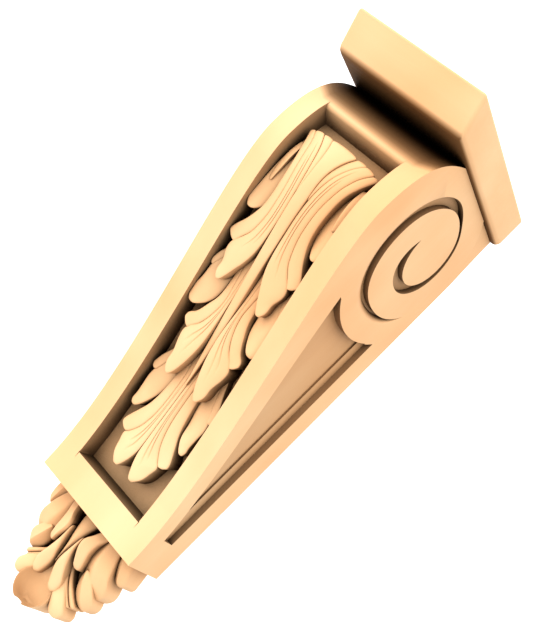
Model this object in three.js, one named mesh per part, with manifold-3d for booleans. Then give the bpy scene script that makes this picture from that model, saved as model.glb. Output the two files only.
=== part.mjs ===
// A carved wooden corbel bracket: a scrolled block under a board, with an acanthus leaf in its front
// panel and a drop leaf below its foot. Millimetres, +Z up, the front looks along -Y, the wall is Y = 0.
import * as THREE from 'three';
import { mergeVertices } from 'three/addons/utils/BufferGeometryUtils.js';
import Module from 'manifold-3d';

const wasm = await Module();
wasm.setup();

// The body: its front swells from the foot to the belly, then rolls over to the shoulder under the cap
const bodyWidth = 100;
const footDepth = 45;
const footLean = 2;
const bellyDepth = 140;
const bellyHeight = 260;
const rollHeight = 61;
const shoulderSetBack = 37;

// The board on top
const capThickness = 26.2;
const capSideOverhang = 4.6;
const capFrontOverhang = 1;
const capLean = 16;
const capRounding = 3;

// The sunk panel in the front, between two rails
const panelRailWidth = 15.5;
const panelDepth = 17;
const panelFootMargin = 23;
const panelHeadMargin = 41;
const panelLip = 4.2;

// The sunk triangle in each side, with a step inside its edges
const sideBackRail = 20.8;
const sideFrontRail = 14.5;
const sideFrontRailFlare = 23.7;
const sideScrollRail = 71;
const sideScrollRailFlare = 6.5;
const sideSinkFoot = 23;
const sideSinkDepth = 4.6;
const sideStepWidth = 8;
const sideStepDepth = 1.4;

// The scroll on each side. Its eye is placed from the belly
const eyeBehindBelly = 86;
const eyeAboveBelly = 15;
const eyeRadius = 23.5;
const scrollRadius = 50;
const grooveDepth = 4.5;
const scrollBackStep = 1.2;
const scrollBackStart = Math.PI / 15;

// The leaf below the foot
const dropLength = 75;
const dropSetBack = 9;

// The clearance between neighbouring pieces
const gap = 0.3;

const bodyHeight = bellyHeight + rollHeight;
const capWidth = bodyWidth + capSideOverhang * 2;
const panelWidth = bodyWidth - panelRailWidth * 2;
const eye = new THREE.Vector2(eyeBehindBelly - bellyDepth, bellyHeight + eyeAboveBelly);

const wood = { roughness: 0.6, metalness: 0 };
const capWood = new THREE.MeshStandardMaterial({ color: 0xf0cd98, ...wood });
const bodyWood = new THREE.MeshStandardMaterial({ color: 0xf3d29c, ...wood });
const leafWood = new THREE.MeshStandardMaterial({ color: 0xf6dca6, ...wood });

const point = (across, up, height = 0) => new THREE.Vector3(across, up, height);

// A geometry becomes a solid for cutting and joining
function solid(geometry) {
  geometry.deleteAttribute('normal');
  geometry.deleteAttribute('uv');
  const merged = mergeVertices(geometry, 1e-4);
  return new wasm.Manifold(new wasm.Mesh({
    numProp: 3,
    vertProperties: new Float32Array(merged.attributes.position.array),
    triVerts: new Uint32Array(merged.index.array),
  }));
}

// A solid becomes a named mesh
function piece(name, form, material) {
  const mesh = form.getMesh();
  const geometry = new THREE.BufferGeometry();
  geometry.setAttribute('position', new THREE.BufferAttribute(mesh.vertProperties, mesh.numProp));
  geometry.setIndex(new THREE.BufferAttribute(mesh.triVerts, 1));
  geometry.computeVertexNormals();
  const result = new THREE.Mesh(geometry, material);
  result.name = name;
  return result;
}

function box(low, high) {
  const size = high.clone().sub(low);
  const geometry = new THREE.BoxGeometry(size.x, size.y, size.z);
  geometry.translate((low.x + high.x) / 2, (low.y + high.y) / 2, (low.z + high.z) / 2);
  return solid(geometry);
}

function extruded(outline, depth, curveSegments) {
  return new THREE.ExtrudeGeometry(outline, { depth, bevelEnabled: false, curveSegments });
}

// A side outline, drawn in depth and height, runs across the bracket from one X to another
function acrossBody(outline, from, to, curveSegments = 12) {
  const geometry = extruded(outline, to - from, curveSegments);
  geometry.applyMatrix4(new THREE.Matrix4().set(
    0, 0, 1, from,
    1, 0, 0, 0,
    0, 1, 0, 0,
    0, 0, 0, 1,
  ));
  return solid(geometry);
}

// The front of the body in side view: from the foot up to the belly, then over the scroll to the cap
function frontLine() {
  const shoulderDepth = bellyDepth - shoulderSetBack;
  const line = new THREE.Path();
  line.moveTo(-footDepth, 0);
  line.bezierCurveTo(
    -footDepth - footLean, bellyHeight * 0.31,
    -bellyDepth, bellyHeight * 0.826,
    -bellyDepth, bellyHeight,
  );
  line.bezierCurveTo(
    -bellyDepth, bellyHeight + rollHeight * 0.72,
    -shoulderDepth - rollHeight * 0.26, bodyHeight - rollHeight * 0.13,
    -shoulderDepth, bodyHeight,
  );
  return line;
}

const front = frontLine();
const frontLength = front.getLength();

// A place at an angle and a distance round the scroll's eye, in side view
function aroundEye(angle, radius) {
  return new THREE.Vector2(eye.x + radius * Math.cos(angle), eye.y + radius * Math.sin(angle));
}

// A place on the front: how far along it from the foot, and how far in from it
function onFront(along, inward) {
  const u = along / frontLength;
  const at = front.getPointAt(u);
  const heading = front.getTangentAt(u);
  return new THREE.Vector2(at.x + heading.y * inward, at.y - heading.x * inward);
}

// The two edges of a band that follows the front, between two depths below it
function bandBetween(start, end, outer, inner) {
  const steps = 26;
  const outside = [];
  const inside = [];
  for (let i = 0; i <= steps; i += 1) {
    const along = THREE.MathUtils.lerp(start, end, i / steps);
    outside.push(onFront(along, outer));
    inside.push(onFront(along, inner));
  }
  return { outside, inside };
}

const panelEnd = frontLength - panelHeadMargin;
const clearOfFront = -panelRailWidth;

// The panel is cut square at its foot, and rolls over a rounded lip at its head
function panelCut() {
  const { outside, inside } = bandBetween(panelFootMargin, panelEnd - panelLip, clearOfFront, panelDepth);
  const lip = [];
  const lipSteps = 4;
  for (let i = 0; i <= lipSteps; i += 1) {
    const turn = (i / lipSteps) * Math.PI / 2;
    lip.push(onFront(panelEnd - panelLip * Math.cos(turn), panelLip * (1 - Math.sin(turn))));
  }
  const outline = new THREE.Shape([
    ...inside,
    ...lip,
    onFront(panelEnd, clearOfFront),
    ...outside.reverse(),
  ]);
  return acrossBody(outline, -panelWidth / 2, panelWidth / 2);
}

// The sunk triangle lies between the front rail, the back rail and the round of the scroll. The front
// rail widens as it climbs. An inset outline lies that far inside the edges
function sideOutline(inset) {
  const stride = 4;
  const back = -sideBackRail - inset;
  const scrollReach = (turn) => sideScrollRail + sideScrollRailFlare * turn + inset;
  const frontEdge = [];
  for (let along = sideSinkFoot; along < frontLength; along += stride) {
    const rail = sideFrontRail + sideFrontRailFlare * (along / frontLength) ** 2;
    const at = onFront(along, rail + inset);
    if (at.distanceTo(eye) < scrollReach(1)) break;
    if (at.x < back - gap) frontEdge.push(at);
  }
  const tip = frontEdge.at(-1).clone().sub(eye).angle();
  const corner = Math.PI * 2 - Math.acos((back - eye.x) / scrollReach(0));
  const steps = 12;
  const scrollEdge = [];
  for (let i = 1; i <= steps; i += 1) {
    const turn = 1 - i / steps;
    scrollEdge.push(aroundEye(THREE.MathUtils.lerp(corner, tip, turn), scrollReach(turn)));
  }
  const foot = new THREE.Vector2(back, frontEdge[0].y);
  return new THREE.Shape([...frontEdge, ...scrollEdge, foot]);
}

// A share of the eye's radius for every eighth of a turn of the winding, read anywhere along it
function alongWinding(shares, turn) {
  const curve = new THREE.CatmullRomCurve3(shares.map((share) => point(share * eyeRadius, 0)));
  return curve.getPoint(turn).x;
}

// The groove starts as a point in the eye, swells to a comma, thins behind the eye, and swells again
// round the front of the scroll before it runs out below
function scrollGroove() {
  const radii = [1.01, 1, 0.99, 0.98, 0.98, 1.04, 1.19, 1.56, 2.05, 2.31, 2.15, 2.15];
  const widths = [0, 0.33, 0.33, 0.25, 0.18, 0.13, 0.12, 0.32, 0.33, 0.31, 0.17, 0];
  const stepsPerEighth = 4;
  const steps = (radii.length - 1) * stepsPerEighth;
  const eighthTurn = Math.PI / 4;
  const inner = [];
  const outer = [];
  for (let i = 0; i <= steps; i += 1) {
    const turn = i / steps;
    const angle = Math.PI + (i / stepsPerEighth) * eighthTurn;
    const radius = alongWinding(radii, turn);
    inner.push(aroundEye(angle, radius));
    outer.push(aroundEye(angle, radius + Math.max(alongWinding(widths, turn), gap)));
  }
  return new THREE.Shape([...outer, ...inner.reverse()]);
}

// Behind the top of the scroll's round the side steps back to a lower plane
function scrollBack() {
  const steps = 8;
  const top = Math.asin(Math.min(1, (bodyHeight - eye.y) / scrollRadius));
  const round = [];
  for (let i = 0; i <= steps; i += 1) {
    round.push(aroundEye(THREE.MathUtils.lerp(top, scrollBackStart, i / steps), scrollRadius));
  }
  const behind = new THREE.Vector2(bodyWidth, round.at(-1).y);
  return new THREE.Shape([...round, behind, new THREE.Vector2(bodyWidth, round[0].y)]);
}

function buildBody() {
  const outline = new THREE.Shape();
  outline.moveTo(0, 0);
  outline.lineTo(-footDepth, 0);
  const steps = 44;
  for (let i = 1; i <= steps; i += 1) {
    const at = front.getPointAt(i / steps);
    outline.lineTo(at.x, Math.min(at.y, bodyHeight - gap));
  }
  outline.lineTo(0, bodyHeight - gap);
  let form = acrossBody(outline, -bodyWidth / 2, bodyWidth / 2).subtract(panelCut());
  const outside = bodyWidth / 2 + grooveDepth;
  const cuts = [
    [sideOutline(0), sideSinkDepth],
    [sideOutline(sideStepWidth), sideSinkDepth + sideStepDepth],
    [scrollGroove(), grooveDepth],
    [scrollBack(), scrollBackStep],
  ];
  for (const [shape, depth] of cuts) {
    form = form.subtract(acrossBody(shape, bodyWidth / 2 - depth, outside));
    form = form.subtract(acrossBody(shape, -outside, depth - bodyWidth / 2));
  }
  return piece('body', form, bodyWood);
}

// An outline given by its corners, each [x, y, rounding]
function roundedOutline(corners) {
  const outline = new THREE.Shape();
  corners.forEach(([x, y, rounding], i) => {
    const at = new THREE.Vector2(x, y);
    const [beforeX, beforeY] = corners.at(i - 1);
    const [afterX, afterY] = corners[(i + 1) % corners.length];
    const from = new THREE.Vector2(beforeX - x, beforeY - y).setLength(rounding).add(at);
    const to = new THREE.Vector2(afterX - x, afterY - y).setLength(rounding).add(at);
    if (i === 0) outline.moveTo(from.x, from.y);
    else outline.lineTo(from.x, from.y);
    if (rounding > 0) outline.quadraticCurveTo(x, y, to.x, to.y);
  });
  return outline;
}

// The board's front leans out as it rises. Its edges are rounded where its side, front and plan outlines
// meet, and its back is flat on the wall
function buildCap() {
  const r = capRounding;
  const half = capWidth / 2;
  const lowDepth = bellyDepth + capFrontOverhang;
  const highDepth = lowDepth + capLean;
  const curveSegments = 4;
  const fromSide = acrossBody(roundedOutline([
    [0, bodyHeight, 0],
    [-lowDepth, bodyHeight, r],
    [-highDepth, bodyHeight + capThickness, r],
    [0, bodyHeight + capThickness, 0],
  ]), -half, half, curveSegments);

  const fromFront = extruded(roundedOutline([
    [-half, 0, r],
    [half, 0, r],
    [half, capThickness, r],
    [-half, capThickness, r],
  ]), highDepth, curveSegments);
  fromFront.rotateX(Math.PI / 2);
  fromFront.translate(0, 0, bodyHeight);

  const fromAbove = extruded(roundedOutline([
    [-half, capLean, 0],
    [half, capLean, 0],
    [half, -lowDepth, r],
    [-half, -lowDepth, r],
  ]), capThickness, curveSegments);
  fromAbove.applyMatrix4(new THREE.Matrix4().set(
    1, 0, 0, 0,
    0, 1, -capLean / capThickness, 0,
    0, 0, 1, bodyHeight,
    0, 0, 0, 1,
  ));
  return piece('cap', fromSide.intersect(solid(fromFront)).intersect(solid(fromAbove)), capWood);
}

// One carved lobe. Its knots give [across, up, half width, height] along its spine, as shares of the
// style's sizes. Its top is a crowned strip, its ends are closed, and its walls run down past the surface
// that it is trimmed to
function lobe(knots, side, style) {
  const { width, length, rise } = style;
  const spine = new THREE.CatmullRomCurve3(
    knots.map(([across, up, , height]) => point(across * width, up * length, height * rise)),
  );
  const girth = new THREE.CatmullRomCurve3(knots.map(([, , half]) => point(half * width, 0)));
  const rings = (knots.length - 1) * style.ringsPerKnot;
  const corners = style.spread.length + 2;
  const positions = [];
  const faces = [];
  for (let i = 0; i <= rings; i += 1) {
    const t = i / rings;
    const at = spine.getPoint(t);
    const heading = spine.getTangent(t);
    const sideways = new THREE.Vector2(heading.y, -heading.x).normalize();
    const half = girth.getPoint(t).x;
    const add = (v, height) => {
      const across = (at.x + sideways.x * half * v) * side;
      positions.push(...style.place(across, at.y + sideways.y * half * v, height).toArray());
    };
    style.spread.forEach((v) => {
      const fall = style.crown * v ** 4 + style.dish * (1 - v * v) * t;
      add(v, at.z - fall * rise);
    });
    add(style.flare, style.base * rise);
    add(-style.flare, style.base * rise);
    if (i === 0) continue;
    const here = i * corners;
    for (let j = 0; j < corners; j += 1) {
      const next = (j + 1) % corners;
      faces.push(here + j, here + next, here - corners + j);
      faces.push(here + next, here - corners + next, here - corners + j);
    }
  }
  const last = rings * corners;
  for (let j = 1; j < corners - 1; j += 1) {
    faces.push(0, j, j + 1);
    faces.push(last, last + j + 1, last + j);
  }
  if (side > 0) faces.reverse();
  const geometry = new THREE.BufferGeometry();
  geometry.setAttribute('position', new THREE.Float32BufferAttribute(positions, 3));
  geometry.setIndex(faces);
  return solid(geometry);
}

function carve(lobes, style) {
  let form = null;
  for (const { knots, single = false, ...own } of lobes) {
    for (const side of single ? [1] : [1, -1]) {
      const next = lobe(knots, side, { ...style, ...own });
      form = form ? form.add(next) : next;
    }
  }
  return form;
}

// The panel leaf. Across is in shares of the panel's half width, up in shares of the panel's length,
// and height in shares of the leaf's rise above the floor. Each lobe stands on both sides of the midrib
const panelLobes = [
  // The midrib, which fans out at the head
  { single: true, knots: [[0, 0.935, 0.46, 0.96], [0, 0.82, 0.16, 1.06], [0, 0.67, 0.1, 0.96],
    [0, 0.49, 0.07, 0.84], [0, 0.3, 0.03, 0.72]] },
  // Upper tier: a flute beside the midrib, the main lobe, its shoulder, and the lobe behind
  { knots: [[0.53, 0.934, 0.14, 0.82], [0.26, 0.865, 0.13, 0.92], [0.1, 0.75, 0.06, 0.88]] },
  { knots: [[0.7, 0.931, 0.1, 0.66], [0.39, 0.822, 0.11, 0.9], [0.26, 0.753, 0.14, 0.92],
    [0.29, 0.685, 0.19, 0.9], [0.45, 0.616, 0.24, 0.94], [0.62, 0.544, 0.06, 1]] },
  { knots: [[0.4, 0.75, 0.1, 0.78], [0.52, 0.67, 0.17, 0.8], [0.7, 0.615, 0.07, 0.7]] },
  { knots: [[0.83, 0.928, 0.06, 0.55], [0.55, 0.842, 0.1, 0.8], [0.48, 0.77, 0.1, 0.8],
    [0.56, 0.71, 0.15, 0.8], [0.88, 0.648, 0.11, 0.82]] },
  { knots: [[0.87, 0.911, 0.1, 0.4], [0.79, 0.84, 0.2, 0.6], [0.8, 0.753, 0.2, 0.74],
    [0.97, 0.688, 0.06, 0.86]] },
  // Middle tier
  { knots: [[0.2, 0.685, 0.12, 0.4], [0.21, 0.582, 0.15, 0.62], [0.25, 0.479, 0.16, 0.78],
    [0.35, 0.393, 0.24, 0.94], [0.49, 0.303, 0.06, 1.04]] },
  { knots: [[0.3, 0.52, 0.1, 0.6], [0.42, 0.45, 0.16, 0.76], [0.59, 0.403, 0.07, 0.8]] },
  { knots: [[0.29, 0.65, 0.09, 0.4], [0.33, 0.547, 0.1, 0.62], [0.44, 0.479, 0.12, 0.76],
    [0.73, 0.428, 0.11, 0.87]] },
  { knots: [[0.55, 0.616, 0.15, 0.34], [0.64, 0.54, 0.26, 0.56], [0.84, 0.486, 0.19, 0.74],
    [0.95, 0.46, 0.05, 0.88]] },
  { knots: [[0.6, 0.616, 0.12, 0.34], [0.78, 0.582, 0.13, 0.56], [0.97, 0.548, 0.08, 0.78]] },
  // Lower tier
  { knots: [[0.12, 0.44, 0.14, 0.4], [0.14, 0.273, 0.18, 0.62], [0.2, 0.153, 0.23, 0.8],
    [0.26, 0.051, 0.06, 0.93]] },
  { knots: [[0.22, 0.26, 0.1, 0.56], [0.33, 0.18, 0.16, 0.7], [0.5, 0.118, 0.07, 0.8]] },
  { knots: [[0.23, 0.393, 0.09, 0.38], [0.29, 0.273, 0.1, 0.6], [0.41, 0.204, 0.12, 0.72],
    [0.63, 0.132, 0.11, 0.82]] },
  { knots: [[0.35, 0.41, 0.15, 0.3], [0.49, 0.314, 0.23, 0.54], [0.7, 0.239, 0.2, 0.7],
    [0.82, 0.176, 0.05, 0.81]] },
  { knots: [[0.38, 0.41, 0.09, 0.3], [0.58, 0.331, 0.12, 0.54], [0.9, 0.271, 0.08, 0.7]] },
];

function buildPanelLeaf() {
  const half = panelWidth / 2;
  const place = (across, up, height) => {
    const at = onFront(panelFootMargin + up, panelDepth - height);
    return point(across, at.x, at.y);
  };
  const style = {
    place, width: half, length: panelEnd - panelFootMargin, rise: panelDepth,
    spread: [-1, -0.62, 0, 0.62, 1], crown: 0.2, dish: 0, base: -0.3, flare: 1, ringsPerKnot: 2,
  };
  const low = panelFootMargin + gap;
  const { outside, inside } = bandBetween(low, panelEnd - panelLip - gap, clearOfFront, panelDepth - gap);
  const room = acrossBody(new THREE.Shape([...inside, ...outside.reverse()]), gap - half, half - gap);
  return piece('panel_leaf', carve(panelLobes, style).intersect(room), leafWood);
}

// The drop leaf. Across is in shares of its half width, up in shares of its length below the foot,
// and height in shares of its depth from the wall
const dropLobes = [
  // The mass behind the lobes
  { single: true, knots: [[0, 0.013, 0.76, 0.333], [0, -0.187, 0.68, 0.333], [0, -0.667, 0.34, 0.306],
    [0, -0.88, 0.16, 0.306]] },
  // The midrib
  { single: true, knots: [[0, 0.013, 0.16, 0.833], [0, -0.213, 0.084, 0.875],
    [0, -0.427, 0.024, 0.792], [0, -0.52, 0.006, 0.75]] },
  // The arm, the drop that it ends on, and the narrow pair beside it
  { knots: [[0.127, -0.18, 0.02, 0.922], [0.119, -0.437, 0.071, 0.881], [0.137, -0.533, 0.103, 0.804],
    [0.174, -0.622, 0.11, 0.721], [0.199, -0.743, 0.069, 0.624]] },
  { knots: [[0.08, -0.46, 0.061, 0.617], [0.22, -0.613, 0.102, 0.61], [0.365, -0.74, 0.116, 0.589],
    [0.495, -0.873, 0.121, 0.506]] },
  { knots: [[0.115, -0.423, 0.06, 0.569], [0.265, -0.543, 0.057, 0.569], [0.405, -0.633, 0.068, 0.528],
    [0.54, -0.717, 0.075, 0.444]] },
  // The side lobes, from the inner one down and out to the outer one
  { knots: [[0.34, 0.013, 0.08, 0.897], [0.249, -0.153, 0.105, 0.974], [0.241, -0.24, 0.097, 0.953],
    [0.269, -0.323, 0.083, 0.89], [0.3, -0.43, 0.06, 0.772]] },
  { knots: [[0.42, -0.34, 0.081, 0.714], [0.485, -0.443, 0.133, 0.672], [0.568, -0.543, 0.156, 0.575],
    [0.67, -0.653, 0.125, 0.401]] },
  { knots: [[0.445, 0.013, 0.155, 0.822], [0.48, -0.153, 0.2, 0.822], [0.518, -0.27, 0.218, 0.788],
    [0.569, -0.38, 0.221, 0.669], [0.65, -0.513, 0.153, 0.468]] },
  { knots: [[0.725, 0.013, 0.125, 0.736], [0.765, -0.113, 0.115, 0.688], [0.83, -0.26, 0.082, 0.528]] },
  // The cupped tip, which curls forward at its lip
  { single: true, dish: 0.2, spread: [-1, -0.86, -0.5, 0, 0.5, 0.86, 1],
    knots: [[0, -0.533, 0.1, 0.556], [0, -0.68, 0.2, 0.611], [0, -0.813, 0.3, 0.639],
      [0, -0.93, 0.26, 0.72], [0, -1.01, 0.14, 0.74]] },
];

function buildDropLeaf() {
  const half = bodyWidth / 2;
  const place = (across, up, height) => point(across, -height, up);
  const style = {
    place, width: half, length: dropLength, rise: footDepth - dropSetBack,
    spread: [-1, -0.5, 0.5, 1], crown: 0.16, dish: 0, base: -0.2, flare: 1.05, ringsPerKnot: 2,
  };
  const room = box(point(-half, -footDepth, -dropLength), point(half, 0, -gap));
  return piece('drop_leaf', carve(dropLobes, style).intersect(room), leafWood);
}

// The foot is at height 0 in the functions above. The group's origin is on the wall face, halfway up the body
const corbel = new THREE.Group();
corbel.name = 'corbel_bracket';
corbel.add(buildBody(), buildCap(), buildPanelLeaf(), buildDropLeaf());
corbel.position.z = -bodyHeight / 2;

export default corbel;
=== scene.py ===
"""The looks of a carved wooden corbel bracket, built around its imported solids.

Sizes are in millimetres until a mesh is made, and the meshes are in metres. In millimetres, X runs across
the bracket from its middle, Y into the wall from its face, and Z up from the foot of the block.
"""

import math

import bpy
import numpy as np
from mathutils import Matrix, Vector


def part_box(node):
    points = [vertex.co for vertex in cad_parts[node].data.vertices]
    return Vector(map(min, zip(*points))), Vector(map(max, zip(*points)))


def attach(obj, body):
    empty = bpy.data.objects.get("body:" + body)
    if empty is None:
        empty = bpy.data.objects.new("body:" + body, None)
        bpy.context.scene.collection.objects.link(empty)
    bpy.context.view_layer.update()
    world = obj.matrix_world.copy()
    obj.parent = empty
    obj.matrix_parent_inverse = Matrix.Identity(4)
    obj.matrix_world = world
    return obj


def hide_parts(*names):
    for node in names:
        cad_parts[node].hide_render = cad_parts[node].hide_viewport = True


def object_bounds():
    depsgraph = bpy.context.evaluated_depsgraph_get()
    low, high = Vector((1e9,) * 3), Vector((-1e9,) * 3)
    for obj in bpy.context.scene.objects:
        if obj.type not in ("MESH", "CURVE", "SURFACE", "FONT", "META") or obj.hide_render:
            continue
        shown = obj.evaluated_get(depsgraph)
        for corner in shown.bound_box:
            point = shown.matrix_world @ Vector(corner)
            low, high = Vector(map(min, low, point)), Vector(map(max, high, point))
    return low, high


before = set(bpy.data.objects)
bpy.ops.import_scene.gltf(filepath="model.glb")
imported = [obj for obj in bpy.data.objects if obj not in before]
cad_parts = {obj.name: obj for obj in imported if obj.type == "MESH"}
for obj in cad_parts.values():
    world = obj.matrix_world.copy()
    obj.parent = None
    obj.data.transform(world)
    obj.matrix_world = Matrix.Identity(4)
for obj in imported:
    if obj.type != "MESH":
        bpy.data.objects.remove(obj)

cad_low, cad_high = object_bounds()

MM = 0.001
BODY_LOW, BODY_HIGH = (np.array(corner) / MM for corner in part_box("body"))
CAP_LOW, CAP_HIGH = (np.array(corner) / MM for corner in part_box("cap"))
DROP_LOW, DROP_HIGH = (np.array(corner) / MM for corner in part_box("drop_leaf"))

# The block's foot is this far below the row's origin
FOOT = -BODY_LOW[2]
BODY_HALF = BODY_HIGH[0]
BODY_HEIGHT = CAP_LOW[2] + FOOT
GAP = CAP_LOW[2] - BODY_HIGH[2]

# The front line swells from the foot to the belly, then rolls over to the shoulder under the cap
FOOT_DEPTH = 45.0
FOOT_LEAN = 2.0
BELLY_DEPTH = 140.0
BELLY_HEIGHT = 260.0
ROLL_HEIGHT = BODY_HEIGHT - BELLY_HEIGHT
SHOULDER_DEPTH = 103.0
# How far the front line's handles reach: shares of the belly's height below it, of the roll's above it
FOOT_PULL = 0.31
BELLY_PULL = 0.826
ROLL_PULL = 0.72
SHOULDER_OUT = 0.26
SHOULDER_DOWN = 0.13
BELLY_POINTS = 400
ROLL_POINTS = 200

# The sunk panel in the front
PANEL_HALF = 34.5
PANEL_DEPTH = 17.0
PANEL_FOOT = 23.0
PANEL_HEAD_MARGIN = 41.0
PANEL_LIP = 4.2
CORNER_CREASE = 5.5

# The sunk triangle in each side
SIDE_BACK_RAIL = 20.8
SIDE_FRONT_RAIL = 14.5
SIDE_FRONT_FLARE = 23.7
SIDE_SCROLL_RAIL = 71.0
SIDE_SCROLL_FLARE = 6.5
SIDE_SINK_DEPTH = 4.6
SIDE_STEP_WIDTH = 8.5
SIDE_STEP_INSET = 0.2
SIDE_STEP_DEPTH = 1.4
# At its foot the triangle's sides are still this far apart
SIDE_FOOT_WIDTH = 0.3

# The scroll on each side
EYE = np.array([-54.0, 275.0])
EYE_RADIUS = 23.5
SCROLL_RADIUS = 50.0
GROOVE_DEPTH = 4.5
SCROLL_BACK_STEP = 1.2
SCROLL_BACK_END = math.pi / 30

# The board on top
CAP_LEAN = 15.8
CAP_FRONT_LOW = 141.0
CAP_TOP_ROUNDING = 2.6
CAP_FOOT_ROUNDING = 4.5


def to_row(points):
    """Points in millimetres from the foot become metres from the row's origin."""
    return (np.asarray(points, float) - (0.0, 0.0, FOOT)) * MM


def mesh_piece(name, points, faces):
    mesh = bpy.data.meshes.new(name)
    mesh.from_pydata(to_row(points).tolist(), [], faces)
    mesh.update()
    piece = bpy.data.objects.new(name, mesh)
    bpy.context.scene.collection.objects.link(piece)
    return piece


def combine(target, tools, operation):
    """Joins tools to the target, or cuts them from it, or keeps what it shares with them."""
    for tool in tools:
        step = target.modifiers.new("step", "BOOLEAN")
        step.operation = operation
        step.solver = "MANIFOLD"
        step.object = tool
    settle(target)
    for tool in tools:
        mesh = tool.data
        bpy.data.objects.remove(tool)
        bpy.data.meshes.remove(mesh)
    return target


def settle(target):
    """The target's modifiers become part of its mesh."""
    bpy.context.view_layer.update()
    shaped = target.evaluated_get(bpy.context.evaluated_depsgraph_get())
    mesh = bpy.data.meshes.new_from_object(shaped)
    old = target.data
    target.modifiers.clear()
    target.data = mesh
    bpy.data.meshes.remove(old)


def prism(name, outline, low, high):
    """A side outline of (y, z) points, run across the bracket from one X to another."""
    outline = np.asarray(outline, float)
    y, z = outline[:, 0], outline[:, 1]
    area = np.sum(y * np.roll(z, -1) - np.roll(y, -1) * z)
    if area < 0:
        outline = outline[::-1]
    count = len(outline)
    points = [(x, *p) for x in (low, high) for p in outline]
    faces = [tuple(range(count))[::-1], tuple(range(count, count * 2))]
    faces += [(i, (i + 1) % count, (i + 1) % count + count, i + count) for i in range(count)]
    return mesh_piece(name, points, faces)


def smooth_line(knots, places):
    """A smooth line through the knots, read at places from 0 at the first to 1 at the last."""
    knots = np.asarray(knots, float)
    padded = np.vstack([2 * knots[0] - knots[1], knots, 2 * knots[-1] - knots[-2]])
    place = np.clip(np.asarray(places, float), 0, 1) * (len(knots) - 1)
    start = np.minimum(place.astype(int), len(knots) - 2)
    t = (place - start)[:, None]
    a, b, c, d = (padded[start + i] for i in range(4))
    return 0.5 * (2 * b + (c - a) * t + (2 * a - 5 * b + 4 * c - d) * t**2 + (3 * b - a - 3 * c + d) * t**3)


def bezier(a, b, c, d, count):
    t = np.linspace(0, 1, count)[:, None]
    a, b, c, d = (np.array(p, float) for p in (a, b, c, d))
    return (1 - t) ** 3 * a + 3 * (1 - t) ** 2 * t * b + 3 * (1 - t) * t**2 * c + t**3 * d


def front_line():
    """The block's front from the foot to the shoulder, as (y, z)."""
    lower = bezier(
        (-FOOT_DEPTH, 0),
        (-FOOT_DEPTH - FOOT_LEAN, BELLY_HEIGHT * FOOT_PULL),
        (-BELLY_DEPTH, BELLY_HEIGHT * BELLY_PULL),
        (-BELLY_DEPTH, BELLY_HEIGHT),
        BELLY_POINTS,
    )
    upper = bezier(
        (-BELLY_DEPTH, BELLY_HEIGHT),
        (-BELLY_DEPTH, BELLY_HEIGHT + ROLL_HEIGHT * ROLL_PULL),
        (-SHOULDER_DEPTH - ROLL_HEIGHT * SHOULDER_OUT, BODY_HEIGHT - ROLL_HEIGHT * SHOULDER_DOWN),
        (-SHOULDER_DEPTH, BODY_HEIGHT),
        ROLL_POINTS,
    )
    return np.vstack([lower, upper[1:]])


FRONT = front_line()
FRONT_STEPS = np.hypot(*np.diff(FRONT, axis=0).T)
FRONT_ALONG = np.concatenate([[0], np.cumsum(FRONT_STEPS)])
FRONT_LENGTH = FRONT_ALONG[-1]
FRONT_HEADING = np.gradient(FRONT, FRONT_ALONG, axis=0)


def on_front(along, inward):
    """Places (y, z) on the front: how far along it from the foot, and how far in from it."""
    along, inward = np.broadcast_arrays(np.asarray(along, float), np.asarray(inward, float))
    y, z = (np.interp(along, FRONT_ALONG, FRONT[:, i]) for i in (0, 1))
    dy, dz = (np.interp(along, FRONT_ALONG, FRONT_HEADING[:, i]) for i in (0, 1))
    length = np.hypot(dy, dz)
    return np.stack([y + dz / length * inward, z - dy / length * inward], -1)


def around_eye(angle, radius):
    return np.stack([EYE[0] + radius * np.cos(angle), EYE[1] + radius * np.sin(angle)], -1)


PANEL_END = FRONT_LENGTH - PANEL_HEAD_MARGIN
PANEL_POINTS = 160
BODY_POINTS = 260
# How far the cutting shapes stand out of the block
OUTSIDE = 8.0


# The block: what is cut from it, and the block itself

def panel_cut():
    """The panel is cut square at its foot and rolls over a rounded lip at its head."""
    along = np.linspace(PANEL_FOOT, PANEL_END - PANEL_LIP, PANEL_POINTS)
    turn = np.linspace(0, math.pi / 2, 14)
    lip = on_front(PANEL_END - PANEL_LIP * np.cos(turn), PANEL_LIP * (1 - np.sin(turn)))
    over = on_front(np.linspace(PANEL_END, PANEL_FOOT, 60), -OUTSIDE)
    outline = np.vstack([on_front(along, PANEL_DEPTH), lip, over])
    return prism("panel_cut", outline, -PANEL_HALF, PANEL_HALF)


def corner_crease(side):
    """A small V cut that runs down from a lower corner of the panel and dies out."""
    width, depth, end_lift = 0.8, 1.2, 0.1
    x = side * PANEL_HALF
    top, low = PANEL_FOOT + 1, PANEL_FOOT - CORNER_CREASE
    points = [
        (x - width, *on_front(top, -depth)),
        (x + width, *on_front(top, -depth)),
        (x, *on_front(top, depth)),
        (x, *on_front(low, -end_lift)),
    ]
    faces = [(0, 1, 2), (0, 3, 1), (1, 3, 2), (2, 3, 0)]
    return mesh_piece("crease", points, faces)


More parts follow.
